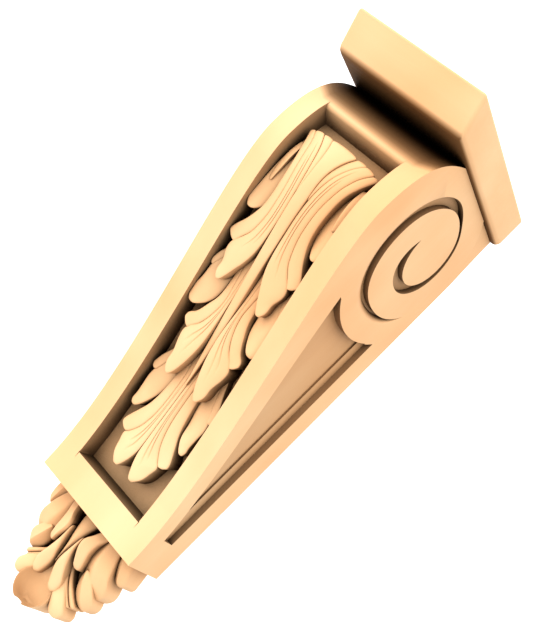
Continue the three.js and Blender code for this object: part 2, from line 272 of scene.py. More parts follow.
def side_outline(inset, ledge=0.0):
    """The sunk triangle between the front rail, the back rail and the round of the scroll.

    inset is how much further in it starts all round, and ledge how much more than that beside the back
    rail."""
    back = -SIDE_BACK_RAIL - inset - ledge
    along = np.arange(PANEL_FOOT, FRONT_LENGTH, 2.0)
    rail = SIDE_FRONT_RAIL + SIDE_FRONT_FLARE * (along / FRONT_LENGTH) ** 2
    front = on_front(along, rail + inset)
    reach = SIDE_SCROLL_RAIL + SIDE_SCROLL_FLARE + inset
    beyond = np.nonzero(np.hypot(*(front - EYE).T) < reach)[0][0]
    front = front[:beyond]
    front = front[front[:, 0] < back - SIDE_FOOT_WIDTH]
    tip = math.atan2(*(front[-1] - EYE)[::-1])
    corner = -math.acos((back - EYE[0]) / (SIDE_SCROLL_RAIL + inset))
    turn = np.linspace(1, 0, 40)[1:]
    scroll = around_eye(corner + (tip - corner) * turn, SIDE_SCROLL_RAIL + SIDE_SCROLL_FLARE * turn + inset)
    return np.vstack([front, scroll, [(back, front[0, 1])]])


def side_cuts(name, outline, depth):
    return [
        prism(name, outline, BODY_HALF - depth, BODY_HALF + OUTSIDE),
        prism(name, outline, -BODY_HALF - OUTSIDE, depth - BODY_HALF),
    ]


# Shares of the eye's radius at every eighth of a turn of the winding: the groove's inner edge, the
# groove's width, and how far its outer side is softened from an upright wall to a long slope
WINDING = np.array([
    (1.01, 0.00, 0.0),
    (1.00, 0.33, 0.0),
    (0.99, 0.33, 0.0),
    (0.98, 0.25, 0.0),
    (0.98, 0.18, 0.0),
    (1.04, 0.13, 0.0),
    (1.19, 0.12, 0.0),
    (1.56, 0.36, 0.2),
    (2.05, 0.46, 0.8),
    (2.31, 0.48, 1.0),
    (2.15, 0.34, 1.0),
    (2.15, 0.00, 1.0),
])
GROOVE_RINGS = 20
GROOVE_LEAST = 0.05
# From this share of the eye's radius in width the groove has its full depth
GROOVE_FULL = 0.12
GROOVE_OUT = 2.0
# A fully softened side takes up this share of the groove's width, and bends by so much
SOFT_REACH = 0.8
SOFT_BEND = 1.2


def groove_cut(side):
    """The groove is cut by a bar that winds round the eye, with a ring of corners at each step."""
    steps = GROOVE_RINGS * (len(WINDING) - 1)
    turn = np.linspace(0, 1, steps + 1)
    shape = smooth_line(WINDING, turn)
    angle = math.pi + turn * (len(WINDING) - 1) * math.pi / 4
    inner = shape[:, 0] * EYE_RADIUS
    width = np.maximum(shape[:, 1] * EYE_RADIUS, GROOVE_LEAST)
    soft = np.clip(shape[:, 2], 0, 1)
    slope = np.linspace(0, 1, 7)
    points = []
    for i in range(steps + 1):
        floor = width[i] * (1 - SOFT_REACH * soft[i])
        depth = GROOVE_DEPTH * min(1, width[i] / (EYE_RADIUS * GROOVE_FULL))
        ring = [(0, GROOVE_OUT), (0, -depth)]
        for rise in slope:
            eased = 1 - (1 - rise) ** (1 + SOFT_BEND * soft[i])
            ring.append((floor + (width[i] - floor) * rise, depth * (eased - 1)))
        ring.append((width[i], GROOVE_OUT))
        for out, up in ring:
            y, z = around_eye(angle[i], inner[i] + out)
            points.append((side * (BODY_HALF + up), y, z))
    return closed_strip("groove", points, len(slope) + 3, side > 0)


def closed_strip(name, points, corners, flip=False):
    """A bar of rings, each with that many corners, closed at both ends."""
    rings = len(points) // corners
    faces = []
    for i in range(rings - 1):
        for j in range(corners):
            a, b = i * corners + j, i * corners + (j + 1) % corners
            faces.append((a, b, b + corners, a + corners))
    last = (rings - 1) * corners
    faces += [(0, j + 1, j) for j in range(1, corners - 1)]
    faces += [(last, last + j, last + j + 1) for j in range(1, corners - 1)]
    if flip:
        faces = [face[::-1] for face in faces]
    return mesh_piece(name, points, faces)


def scroll_back_cut(side):
    """Behind the scroll's round the side steps back to a lower plane, less and less on the way down."""
    top = math.asin((BODY_HEIGHT - EYE[1]) / SCROLL_RADIUS)
    points = []
    for fade in np.linspace(0, 1, 40):
        y, z = around_eye(top + (SCROLL_BACK_END - top) * fade, SCROLL_RADIUS)
        step = BODY_HALF - SCROLL_BACK_STEP * (1 - fade**2)
        out = BODY_HALF + OUTSIDE
        points += [(side * x, at, z) for x, at in ((out, y), (step, y), (step, OUTSIDE), (out, OUTSIDE))]
    return closed_strip("scroll_back", points, 4, side < 0)


def make_body():
    front = on_front(np.linspace(0, FRONT_LENGTH, BODY_POINTS), 0)
    outline = np.vstack([[(0, 0)], front, [(0, BODY_HEIGHT)]])
    outline[:, 1] = np.minimum(outline[:, 1], BODY_HEIGHT - GAP)
    body = prism("corbel_body", outline, -BODY_HALF, BODY_HALF)
    cuts = [panel_cut(), corner_crease(1), corner_crease(-1), groove_cut(1), groove_cut(-1)]
    cuts += side_cuts("side_sink", side_outline(0), SIDE_SINK_DEPTH)
    step = side_outline(SIDE_STEP_INSET, SIDE_STEP_WIDTH)
    cuts += side_cuts("side_step", step, SIDE_SINK_DEPTH + SIDE_STEP_DEPTH)
    cuts += [scroll_back_cut(1), scroll_back_cut(-1)]
    body = combine(body, cuts, "DIFFERENCE")
    mark_sunk_faces(body.data)
    return body


# How much of its brightness the painted shade leaves on each kind of sunk face, darkened where shade falls.
# A face within SKIN of the block's outline lies on its outer skin.
SIDE_WALL_SHADE = 0.45
SIDE_FLOOR_SHADE = 0.78
PANEL_SIDE_SHADE = 0.75
PANEL_FOOT_SHADE = 0.4
SKIN = 0.25
FINE_FRONT = on_front(np.linspace(0, FRONT_LENGTH, 4000), 0)


def face_painted_shade(x, y, z, normal):
    """How much of its brightness the painted shade leaves on a face there. x is its distance from the middle.
    """
    below_front = np.min(np.hypot(*(FINE_FRONT - (y, z)).T)) > SKIN
    inside = below_front and y < -SKIN and SKIN < z < BODY_HIGH[2] + FOOT - SKIN
    depth = BODY_HALF - x
    if not inside or depth < SKIN / 4:
        return 1.0
    to_side = abs(normal.x)
    if x < PANEL_HALF + SKIN:
        if to_side > 0.5:
            return PANEL_SIDE_SHADE
        return PANEL_FOOT_SHADE if normal.z > 0.5 and z < PANEL_FOOT * 2 else 1.0
    upright, flat = to_side < 0.2, to_side > 0.99
    if upright:
        return SIDE_WALL_SHADE
    if flat:
        return SIDE_FLOOR_SHADE if depth > SCROLL_BACK_STEP + SKIN else 1.0
    return 1 - (1 - SIDE_WALL_SHADE) * min(1, depth / GROOVE_DEPTH)


def mark_sunk_faces(mesh):
    """Writes how dark the painted shade is on each face that lies below the block's outer skin."""
    painted_shade = mesh.attributes.new("painted_shade", "FLOAT", "FACE")
    for face, value in zip(mesh.polygons, painted_shade.data):
        x, y, z = np.array(face.center) / MM + (0, 0, FOOT)
        value.value = face_painted_shade(abs(x), y, z, face.normal)


# The board on top. What stands behind the wall's face is cut off.
CAP_ROUNDING_STEPS = 8
TOUCHING = 1e-6
WALL_MARGIN = 50
WALL_THICKNESS = 90


def make_cap():
    """The board's front leans out as it rises, and all its edges but those at the wall are rounded."""
    half = CAP_HIGH[0]
    low, high = CAP_LOW[2] + FOOT, CAP_HIGH[2] + FOOT
    corners = [
        (x, y - CAP_LEAN * (z - low) / (high - low) * (y < 0), z)
        for z in (low, high)
        for x, y in ((-half, -CAP_FRONT_LOW), (half, -CAP_FRONT_LOW), (half, OUTSIDE), (-half, OUTSIDE))
    ]
    faces = [(3, 2, 1, 0), (4, 5, 6, 7), (0, 1, 5, 4), (1, 2, 6, 5), (2, 3, 7, 6), (3, 0, 4, 7)]
    cap = mesh_piece("cap_board", corners, faces)
    weights = cap.data.attributes.new("bevel_weight_edge", "FLOAT", "EDGE")
    for edge, weight in zip(cap.data.edges, weights.data):
        at_foot = all(cap.data.vertices[i].co.z < CAP_LOW[2] * MM + TOUCHING for i in edge.vertices)
        weight.value = 1 if at_foot else CAP_TOP_ROUNDING / CAP_FOOT_ROUNDING
    rounding = cap.modifiers.new("rounding", "BEVEL")
    rounding.limit_method = "WEIGHT"
    rounding.width = CAP_FOOT_ROUNDING * MM
    rounding.segments = CAP_ROUNDING_STEPS
    settle(cap)
    under, over = low - WALL_MARGIN, high + WALL_MARGIN
    outline = [(0, under), (WALL_THICKNESS, under), (WALL_THICKNESS, over), (0, over)]
    wall = prism("wall", outline, -2 * half, 2 * half)
    return combine(cap, [wall], "DIFFERENCE")


# The leaves

# How much of a blade's length its rounded root takes up
ROOT_ROUNDING = 2.0
# A crease's section: shares of the blade's half width from its middle, and of its depth
CREASE = [(-0.1, 0), (-0.035, 0.7), (0, 1), (0.035, 0.7), (0.1, 0)]
CREASE_DEPTH = 0.45
CREASE_SHARE = 0.1
# Where a blade's top has its points, from edge to edge. None is as near as this to a crease's middle.
TOP_SPOTS = np.linspace(-0.92, 0.92, 12)
NEAR_CREASE = 0.13
# How far a blade's edges roll over, and how wide the roll is. Both have a limit in a narrow blade, given as
# a share of its half width.
BLADE_ROLL = 0.55
BLADE_EDGE = 1.4
ROLL_LIMIT = 0.5
EDGE_LIMIT = 0.55
# A blade narrows and drops at its root and tip. Its rounded tip takes up at most TIP_LIMIT of the last row
# and ends at the share TIP_LEAST of its width. Its walls run down to BLADE_FOOT.
ROOT_STEPS = np.array([0, 0.15, 0.4, 0.7])
ROOT_NARROWING = 0.4
ROOT_DROP = 0.8
TIP_LIMIT = 0.95
TIP_LEAST = 0.04
END_DROP = 0.6
BLADE_FOOT = -1.0
# The steps of a blade's length for each row, of its tip's rounding and of its edges'
ROW_STEPS = 5
TIP_STEPS = 9
EDGE_STEPS = 5
# How far a top swells that isn't told: a share of its half width, up to a limit
SWELL_SHARE = 0.09
SWELL_LIMIT = 1.0
# A sunk top keeps its depth nearer to its rounded tip than a swollen one
SUNK_HOLD = 1.6


def blade(place, rows, side, roll=BLADE_ROLL, creases=(), crown=None, edge=BLADE_EDGE, ridge=None):
    """One carved blade. Each row gives its left and its right edge, each (across, up, height).

    Its top is gently crowned and rolls over at the edges, its tip is rounded, and its walls run straight
    down. roll is how far the edges drop, and edge how wide they are. crown says how far the top swells at
    the root and at the tip, or sinks where it is below 0. ridge is where a top like a roof has its ridge,
    from -1 at the left edge to 1 at the right. Each crease is a fine line along the blade: its place, given
    like the ridge's, and the shares of the blade's length where it starts and ends. Blades run down from
    the root, and side is -1 for one mirrored to the left."""
    rows = np.asarray(rows, float)
    left, right = rows[:, :3], rows[:, 3:]
    spans = len(rows) - 1
    end_half = np.hypot(*(right - left)[-1, :2]) / 2
    runs = np.hypot(*np.diff((left + right)[:, :2] / 2, axis=0).T)
    tip_share = min(TIP_LIMIT, end_half / runs[-1]) / spans
    root_share = ROOT_ROUNDING / runs[0] / spans
    before = np.linspace(0, 1 - tip_share, ROW_STEPS * spans + 1)
    turn = np.linspace(0, math.pi / 2, TIP_STEPS)[1:]
    to_tip = np.concatenate([root_share * ROOT_STEPS, before[before > root_share]])
    u = np.concatenate([to_tip, 1 - tip_share + tip_share * np.sin(turn)])
    to_root = np.clip(1 - u / root_share, 0, 1)
    narrowing = 1 - ROOT_NARROWING * to_root**2
    narrowing[len(to_tip):] = np.maximum(np.cos(turn), TIP_LEAST)
    end_drop = END_DROP * (1 - narrowing) + ROOT_DROP * to_root**2
    edges = smooth_line(rows, u)
    left, right = edges[:, :3], edges[:, 3:]
    middle, half = (left + right) / 2, (right - left) / 2
    open_spots = [t for t in TOP_SPOTS if all(abs(t - crease[0]) > NEAR_CREASE for crease in creases)]
    points = []
    for i in range(len(u)):
        wide = np.hypot(*half[i, :2]) * narrowing[i]
        rim = min(edge, EDGE_LIMIT * wide)
        inner = 1 - rim / wide
        swell = min(SWELL_LIMIT, SWELL_SHARE * wide)
        if crown:
            hold = SUNK_HOLD if crown[1] < 0 else 1
            swell = (crown[0] + (crown[1] - crown[0]) * u[i]) * min(1, narrowing[i] * hold)
        spots = [(t * inner, 0.0) for t in open_spots]
        for t, start, stop in creases:
            share = np.clip((u[i] - start) / (stop - start), 0, 1)
            depth = min(CREASE_DEPTH, CREASE_SHARE * wide) * (1 - (2 * share - 1) ** 4)
            spots += [((t + at) * inner, depth * low) for at, low in CREASE]
        for spot in np.linspace(0, math.pi / 2, EDGE_STEPS):
            v = 1 - rim / wide * (1 - math.sin(spot))
            drop = min(roll, ROLL_LIMIT * wide) * (1 - math.cos(spot))
            spots += [(v, drop), (-v, drop)]
        spots.sort()
        top = []
        for v, drop in spots:
            at = middle[i] + half[i] * v * narrowing[i]
            shape = 1 - v**4 if swell < 0 else 1 - v * v
            if ridge is not None:
                shape = (1 + v) / (1 + ridge) if v < ridge else (1 - v) / (1 - ridge)
            top.append((at[0], at[1], at[2] + swell * shape - drop - end_drop[i]))
        below = [(*top[-1][:2], BLADE_FOOT), (*top[0][:2], BLADE_FOOT)]
        points += [place(across * side, up, height) for across, up, height in top + below]
    return closed_strip("blade", points, len(spots) + 2, side > 0)


def on_panel(across, up, height):
    y, z = on_front(up, PANEL_DEPTH - height)
    return (across, float(y), float(z))


# Each blade: its creases, and rows that give its left and right edge from the root to the tip, as (across,
# along the front, height over the panel's floor)
MIDRIB = [
    (-11.5, 295.6, 14.4, 11.5, 295.6, 14.4),
    (-8.0, 288, 15.4, 8.0, 288, 15.4),
    (-5.6, 279, 16.2, 5.6, 279, 16.2),
    (-4.6, 268, 16.6, 4.6, 268, 16.6),
    (-4.8, 255, 16.2, 4.8, 255, 16.2),
    (-4.4, 240, 15.6, 4.4, 240, 15.6),
    (-4.1, 222, 14.8, 4.1, 222, 14.8),
    (-3.7, 200, 14.0, 3.7, 200, 14.0),
    (-3.2, 175, 13.4, 3.2, 175, 13.4),
    (-2.7, 150, 12.8, 2.7, 150, 12.8),
    (-1.8, 128, 12.4, 1.8, 128, 12.4),
    (-0.5, 109, 12.2, 0.5, 109, 12.2),
]
WEB = [
    (-24, 291, 6, 24, 291, 6),
    (-17, 270, 7, 17, 270, 7),
    (-13, 240, 7, 13, 240, 7),
    (-11, 200, 6, 11, 200, 6),
    (-9, 150, 5, 9, 150, 5),
    (-8, 100, 5, 8, 100, 5),
    (-5, 66, 5, 5, 66, 5),
]
PANEL_BLADES = [
    # Upper tier: the flute, the main lobe, its shoulder, the small finger and the lobe behind
    ((), [
        (11.5, 295.6, 13.4, 19.5, 295.3, 13.4),
        (8.0, 288, 14.2, 14.2, 287, 14.2),
        (5.6, 279, 15.0, 10.0, 277, 14.8),
        (4.6, 269, 15.6, 7.2, 266, 15.2),
        (4.8, 257, 15.4, 5.4, 254, 15.2),
    ]),
    (((-0.45, 0.05, 0.6), (0.1, 0.12, 0.66)), [
        (19.5, 295.3, 13.8, 27.0, 294.3, 12.0),
        (14.2, 287, 14.8, 21.8, 285.5, 13.2),
        (10.0, 277, 15.2, 18.6, 275, 13.8),
        (7.2, 265.5, 15.4, 16.4, 264.5, 14.1),
        (5.4, 253, 15.2, 14.6, 253, 14.1),
        (4.7, 241, 14.8, 14.0, 241, 13.9),
        (4.8, 229, 14.5, 14.5, 230, 13.6),
        (5.3, 217, 14.7, 17.6, 217, 13.3),
        (6.6, 206.5, 15.0, 22.6, 209, 13.1),
        (9.2, 198, 15.4, 27.0, 203.2, 13.0),
        (12.2, 191.5, 15.8, 27.6, 197.5, 13.4),
        (15.4, 184.5, 16.1, 24.8, 190.2, 14.2),
        (18.0, 179.9, 16.3, 24.4, 184.2, 15.2),
        (20.3, 177.9, 16.4, 23.2, 180.2, 15.8),
    ]),
    ((), [
        (27.0, 294.3, 11.8, 31.0, 293.0, 10.2),
        (21.8, 285.5, 12.9, 27.4, 285, 11.2),
        (18.6, 275, 13.6, 24.2, 276, 12.0),
        (16.4, 264.5, 13.9, 22.0, 266, 12.5),
        (14.6, 253, 13.9, 20.9, 255, 12.7),
        (14.0, 241, 13.7, 20.5, 244, 12.6),
        (14.5, 230, 13.4, 21.7, 233.5, 12.4),
        (17.6, 217, 13.1, 26.2, 222, 12.3),
        (22.6, 209, 12.9, 31.2, 214, 12.4),
        (25.4, 204.4, 12.9, 33.2, 209.6, 12.7),
        (26.8, 203.0, 13.0, 32.8, 207.2, 12.9),
    ]),
    ((), [
        (26.5, 284, 8.0, 31.0, 284, 7.0),
        (26.5, 270, 10.4, 31.5, 271, 9.0),
        (27.2, 258, 11.0, 31.8, 260, 9.8),
        (28.4, 248.5, 11.0, 31.0, 250, 10.4),
    ]),
    ((), [
        (24.0, 290, 3.0, 31.0, 290, 5.0),
        (20.0, 278, 3.5, 31.5, 280, 6.5),
        (18.0, 262, 4.5, 32.4, 266, 8.5),
        (18.0, 247, 6.0, 33.4, 252, 10.0),
        (22.0, 234, 8.5, 34.2, 240, 11.5),
        (29.0, 226, 13.4, 34.6, 230, 13.0),
    ]),
    # Middle tier: the main lobe, its shoulder, and the lobe behind with its finger
    (((-0.35, 0.1, 0.72), (0.2, 0.2, 0.66)), [
        (2.5, 224, 7.5, 12.5, 224, 7.5),
        (3.4, 205, 9.0, 12.5, 204, 8.5),
        (3.9, 188, 10.5, 10.5, 187, 10.0),
        (3.9, 171, 12.5, 8.4, 170, 11.9),
        (3.5, 157, 14.2, 10.8, 157, 13.2),
        (3.5, 147, 15.0, 15.0, 147.5, 13.5),
        (4.3, 136, 15.6, 20.8, 141.4, 13.4),
        (6.3, 125.5, 16.2, 23.4, 136.5, 13.8),
        (8.4, 118, 16.5, 22.7, 130, 14.4),
        (10.8, 111.6, 16.8, 20.2, 121.5, 15.4),
        (13.2, 107.9, 17.0, 19.8, 114.5, 16.2),
        (15.1, 106.7, 17.0, 18.0, 109.2, 16.8),
    ]),
    ((), [
        (12.5, 204, 7.8, 17.0, 206, 6.4),
        (10.5, 187, 9.8, 14.6, 188, 8.7),
        (8.4, 170, 11.6, 14.6, 171, 10.6),
        (10.8, 157, 13.0, 18.4, 160, 12.0),
        (15.0, 147.5, 13.2, 22.4, 152, 12.6),
        (19.2, 142.4, 13.4, 26.8, 147.8, 13.2),
        (21.4, 139.6, 13.8, 27.6, 144.8, 13.8),
        (22.8, 138.9, 14.0, 27.1, 142.8, 14.0),
    ]),
    ((), [
        (15.5, 206, 6.0, 23.0, 208, 6.0),
        (15.8, 190, 6.0, 28.0, 195, 8.5),
        (16.0, 177, 7.0, 32.0, 184, 11.0),
        (17.4, 166.5, 8.8, 32.6, 173, 12.8),
        (20.6, 160, 10.8, 34.0, 166, 13.4),
        (25.5, 155.3, 13.6, 34.1, 160, 13.8),
        (30.0, 153, 14.0, 33.9, 155.8, 14.2),
    ]),
    ((), [
        (21.0, 207, 5.5, 25.5, 209, 5.5),
        (25.0, 196, 8.0, 29.0, 199, 8.0),
        (29.3, 187, 10.5, 32.7, 191, 10.5),
        (32.0, 181, 12.0, 34.2, 184.5, 12.0),
    ]),
    # Lower tier: the main lobe, its shoulder, and the lobe behind with its finger
    (((-0.35, 0.1, 0.76), (0.2, 0.2, 0.66)), [
        (0.1, 152, 6.0, 9.5, 152, 5.5),
        (0.1, 130, 8.0, 8.6, 130, 7.5),
        (0.1, 112, 10.0, 6.2, 112, 9.4),
        (0.1, 95, 12.0, 6.0, 94, 11.0),
        (0.1, 80, 13.4, 7.2, 79, 12.2),
        (0.1, 66, 14.2, 10.4, 67, 12.8),
        (0.4, 54, 14.6, 15.2, 58.8, 13.0),
        (1.8, 47, 14.9, 18.6, 54.8, 13.4),
        (3.6, 41.8, 15.1, 17.3, 48.5, 14.0),
        (5.6, 37.6, 15.3, 15.8, 43.2, 14.6),
        (8.0, 34.9, 15.4, 12.8, 37.6, 15.0),
    ]),
    ((), [
        (8.6, 130, 6.8, 14.0, 130, 5.8),
        (6.2, 112, 9.2, 12.6, 112, 8.0),
        (6.0, 94, 10.8, 13.4, 96, 9.6),
        (7.2, 79, 12.0, 16.0, 82, 10.8),
        (10.4, 67, 12.6, 20.4, 72, 11.8),
        (15.2, 58.8, 12.8, 24.2, 64.0, 12.6),
        (17.8, 56.4, 13.2, 24.9, 60.2, 13.0),
        (19.6, 55.7, 13.2, 24.0, 58.1, 13.1),
    ]),
    ((), [
        (12.0, 131, 5.0, 18.5, 132, 5.0),
        (12.2, 113, 5.0, 22.0, 116, 7.0),
        (13.2, 101, 6.2, 27.5, 105, 8.6),
        (15.6, 90, 7.6, 29.8, 96, 10.0),
        (18.6, 81.5, 11.4, 29.4, 88, 11.2),
        (22.0, 75.5, 12.4, 28.8, 80.5, 12.2),
        (25.8, 71.5, 13.0, 29.5, 74.6, 12.9),
    ]),
    ((), [
        (17.0, 132, 4.5, 21.0, 133, 4.5),
        (20.5, 119, 6.5, 24.6, 122, 6.5),
        (25.0, 107, 8.8, 30.0, 111, 8.8),
        (28.4, 99, 10.4, 32.8, 102, 10.4),
    ]),
]


def make_panel_leaf():
    leaf = blade(on_panel, WEB, 1)
    parts = [blade(on_panel, MIDRIB, 1)]
    for creases, rows in PANEL_BLADES:
        parts += [blade(on_panel, rows, side, creases=creases) for side in (1, -1)]
    leaf = combine(leaf, parts, "UNION")
    along = np.linspace(PANEL_FOOT + GAP, PANEL_END - PANEL_LIP - GAP, PANEL_POINTS)
    outline = np.vstack([on_front(along, PANEL_DEPTH - GAP), on_front(along[::-1], -OUTSIDE)])
    room = prism("room", outline, GAP - PANEL_HALF, PANEL_HALF - GAP)
    leaf = combine(leaf, [room], "INTERSECT")
    leaf.name = "panel_leaf_carving"
    return leaf


# The drop leaf. Its rows give a blade's left and right edge as (across, up from the block's foot, height
# over the wall). DROP_SWELL and DROP_DISH say how far a top swells at its root and its tip, or sinks.
DROP_EDGE = 1.5
DROP_ROLL = 1.3
DROP_SWELL = (2, 2)
DROP_DISH = (0, -13)
DROP_DISH_EDGE = 1.6
DROP_MASS = [
    (-38, 1, 12, 38, 1, 12),
    (-34, -14, 12, 34, -14, 12),
    (-27, -32, 11, 27, -32, 11),
    (-17, -50, 11, 17, -50, 11),
    (-8, -66, 11, 8, -66, 11),
]
DROP_MIDRIB = [
    (-8, 1, 28, 8, 1, 28),
    (-6, -8, 29.5, 6, -8, 29.5),
    (-4.2, -16, 29.5, 4.2, -16, 29.5),
    (-2.6, -24, 28, 2.6, -24, 28),
    (-1.2, -32, 26.5, 1.2, -32, 26.5),
    (-0.3, -39, 25, 0.3, -39, 25),
]
DROP_CUP = [
    (-5, -40, 20, 5, -40, 20),
    (-10, -51, 22, 10, -51, 22),
    (-15, -61, 23, 15, -61, 23),
    (-15, -75.5, 27, 15, -75.5, 27),
]
# Each blade of a pair: how far its top swells, where its ridge is or None, and its rows
DROP_BLADES = [
    # The arm, and the drop that it ends on
    (1.2, None, [
        (5.5, -13, 32, 7.2, -14, 32),
        (4.2, -22, 32, 7.2, -24, 32),
        (2.5, -32, 31, 9.4, -33.5, 30),
        (1.7, -39.5, 28, 12.0, -40.5, 27.5),
        (3.2, -46.6, 25, 14.2, -46.7, 24.5),
        (6.5, -56, 21.5, 13.4, -55.5, 21),
    ]),
    (1.2, None, [
        (1, -34, 21, 7, -35, 21),
        (6, -47, 21, 16, -45, 20.5),
        (13, -58, 20.5, 23.5, -53, 19.5),
        (19.5, -68.5, 17.5, 30, -62.5, 16.5),
    ]),
    # The two narrow blades beside it
    (1.0, None, [
        (3, -33, 20, 6, -32, 20),
        (11, -42.5, 20, 13, -41, 20),
        (17.5, -49.5, 18.5, 20, -48, 18.5),
        (24, -56, 15.5, 26.8, -54, 15.5),
    ]),
    (1.0, None, [
        (6, -32, 19, 8.5, -30.5, 19),
        (13, -41, 19, 15.5, -39, 19),
        (20, -48, 17.5, 23, -45.5, 17.5),
        (26.8, -54, 14.5, 30, -51.5, 14.5),
    ]),
    # The side lobes, from the inner one down and out to the outer one
    (1.8, -0.6, [
        (13, 1, 31, 21, 1, 30),
        (10.6, -6.5, 33, 19, -5.5, 32),
        (7.4, -13, 34, 17.5, -10, 32.5),
        (7.3, -19, 33, 16.8, -17, 32),
        (9.5, -25.5, 30.5, 17.4, -23, 30),
        (12.0, -32.5, 26, 18.0, -32, 26),
    ]),
    (4.2, -0.1, [
        (17, -26, 19, 25, -25, 24),
        (18, -35.5, 18, 30.5, -31, 22),
        (21.3, -44, 15, 35.5, -37.5, 18),
        (28, -52, 10, 39, -46, 10.5),
    ]),
    (4.6, -0.15, [
        (14.5, 1, 24, 30, 1, 26),
        (14, -12, 24, 34, -11, 26),
        (15, -20.5, 23, 36.8, -20, 24.5),
        (17.5, -30, 19, 39.4, -27, 20),
        (25, -40, 12, 40, -37, 12.5),
    ]),
    (3.0, -0.2, [
        (30, 1, 24, 42.5, 1, 23),
        (32.5, -9, 22, 44, -8, 21.5),
        (37.5, -20.5, 16, 45.5, -18.5, 16),
    ]),
]


def on_wall(across, up, height):
    return (across, -height, up)


def make_drop_leaf():
    leaf = blade(on_wall, DROP_MASS, 1)
    parts = [
        blade(on_wall, DROP_MIDRIB, 1, DROP_ROLL, crown=DROP_SWELL, edge=DROP_EDGE),
        blade(on_wall, DROP_CUP, 1, crown=DROP_DISH, edge=DROP_DISH_EDGE),
    ]
    for crown, ridge, rows in DROP_BLADES:
        for side in (1, -1):
            swell = (crown, crown)
            parts.append(blade(on_wall, rows, side, DROP_ROLL, crown=swell, edge=DROP_EDGE, ridge=ridge))
    leaf = combine(leaf, parts, "UNION")
    low = DROP_LOW[2] + FOOT
    outline = [(-FOOT_DEPTH, low), (-FOOT_DEPTH, -GAP), (0, -GAP), (0, low)]
    room = prism("room", outline, DROP_LOW[0], DROP_HIGH[0])
    leaf = combine(leaf, [room], "INTERSECT")
    leaf.name = "drop_leaf_carving"
    return leaf


# The wood

TONE = (0.88, 0.575, 0.312)
# Shares of the tone's red, green and blue in the figure's streaks, and in the patches
STREAK = (0.93, 0.9, 0.86)
PATCH = (0.98, 0.95, 0.93)
PATCH_STRENGTH = 0.5
# How much each kind of figure stretches the noise along X, Y and Z: a small share is along the grain
UPRIGHT_GRAIN = (1, 1, 0.1)
CROSS_GRAIN = (0.1, 1, 1)
LEAF_GRAIN = (1, 1, 0.12)
# The scale and the detail of each noise
FIGURE_NOISE, FIBRE_NOISE, PATCH_NOISE = (30, 5), (420, 3), (9, 2)
SHINE = 0.25
ROUGHNESS = (0.5, 0.64)
BUMP_STRENGTH = 0.12
BUMP_HEIGHT = 0.0002

# Painted shade in crevices, from how much open sky each face sees: how far in metres a face looks for others,
# and how much of its brightness the painted shade leaves at each share of open sky
CREVICE_REACH = 0.05
CREVICE_SAMPLES = 12
CREVICE_DARKEST = (0.08, (0.012, 0.006, 0.003, 1))
CREVICE_TONES = ((0.2, 0.12), (0.35, 0.38), (0.5, 0.64), (0.7, 0.82), (0.85, 0.93))
CREVICE_GREEN, CREVICE_BLUE = 0.95, 0.9

# How much brightness the board's painted shadow leaves on the block's front, by its height in metres over the
# row's origin. Towards the sides, from ROLL_ENDS on, that starts higher up by ROLL_ENDS_LIFT.
ROLL_SHADE = (
    (0.132, 1.0),
    (0.135, 0.66),
    (0.138, 0.34),
    (0.141, 0.2),
    (0.145, 0.13),
    (0.151, 0.06),
    (0.156, 0.02),
)
# ROLL_ENDS are distances from the bracket's middle.
ROLL_ENDS = (0.04, 0.05)
ROLL_ENDS_LIFT = 0.005
# The painted shade gets warmer as it darkens: the powers of its level in green and in blue
SHADE_GREEN, SHADE_BLUE = 1.08, 1.16
# The painted shade on the board's underside
UNDERSIDE_SHADE = (0.22, 0.18, 0.14, 1)
# The faces that get painted shade: the part of their normal that is read, where the painted shade starts and
# where it is full
ROLL_FACING = ("Y", -0.2, -0.45)
UNDERSIDE_FACING = ("Z", -0.65, -0.95)


def under_board(nodes, links, place, which):
    """A colour that paints the board's shadow and shade on the faces in the angle under the board, and leaves
    the rest.

    which is "roll" for the block's front and "underside" for the board's own underside."""

    def node(kind, operation=None, *inputs):
        made = nodes.new(kind)
        if operation:
            made.operation = operation
        for socket, value in zip(made.inputs, inputs):
            if isinstance(value, bpy.types.NodeSocket):
                links.new(value, socket)
            else:
                socket.default_value = value
        return made

    facing = node("ShaderNodeSeparateXYZ", None, nodes.new("ShaderNodeNewGeometry").outputs["Normal"])
    axis, low, high = ROLL_FACING if which == "roll" else UNDERSIDE_FACING
    chosen = node("ShaderNodeMapRange", None, facing.outputs[axis], low, high, 0.0, 1.0)
    dark = nodes.new("ShaderNodeMix")
    dark.data_type = "RGBA"
    links.new(chosen.outputs["Result"], dark.inputs[0])
    dark.inputs[6].default_value = (1, 1, 1, 1)
    if which == "underside":
        dark.inputs[7].default_value = UNDERSIDE_SHADE
        return dark.outputs[2]
    at = node("ShaderNodeSeparateXYZ", None, place.outputs["Object"])
    aside = node("ShaderNodeMath", "ABSOLUTE", at.outputs["X"])
    lift = node("ShaderNodeMapRange", None, aside.outputs[0], *ROLL_ENDS, 0.0, ROLL_ENDS_LIFT)
    height = node("ShaderNodeMath", "SUBTRACT", at.outputs["Z"], lift.outputs["Result"])
    first, last = ROLL_SHADE[0][0], ROLL_SHADE[-1][0]
    share = node("ShaderNodeMapRange", None, height.outputs[0], first, last, 0.0, 1.0)
    ramp = nodes.new("ShaderNodeValToRGB")
    links.new(share.outputs["Result"], ramp.inputs["Fac"])
    elements = ramp.color_ramp.elements
    for i, (z, level) in enumerate(ROLL_SHADE):
        spot = (z - first) / (last - first)
        element = elements[0] if i == 0 else elements[-1] if i == len(ROLL_SHADE) - 1 else elements.new(spot)
        element.position = spot
        element.color = (level, level**SHADE_GREEN, level**SHADE_BLUE, 1)
    links.new(ramp.outputs["Color"], dark.inputs[7])
    return dark.outputs[2]


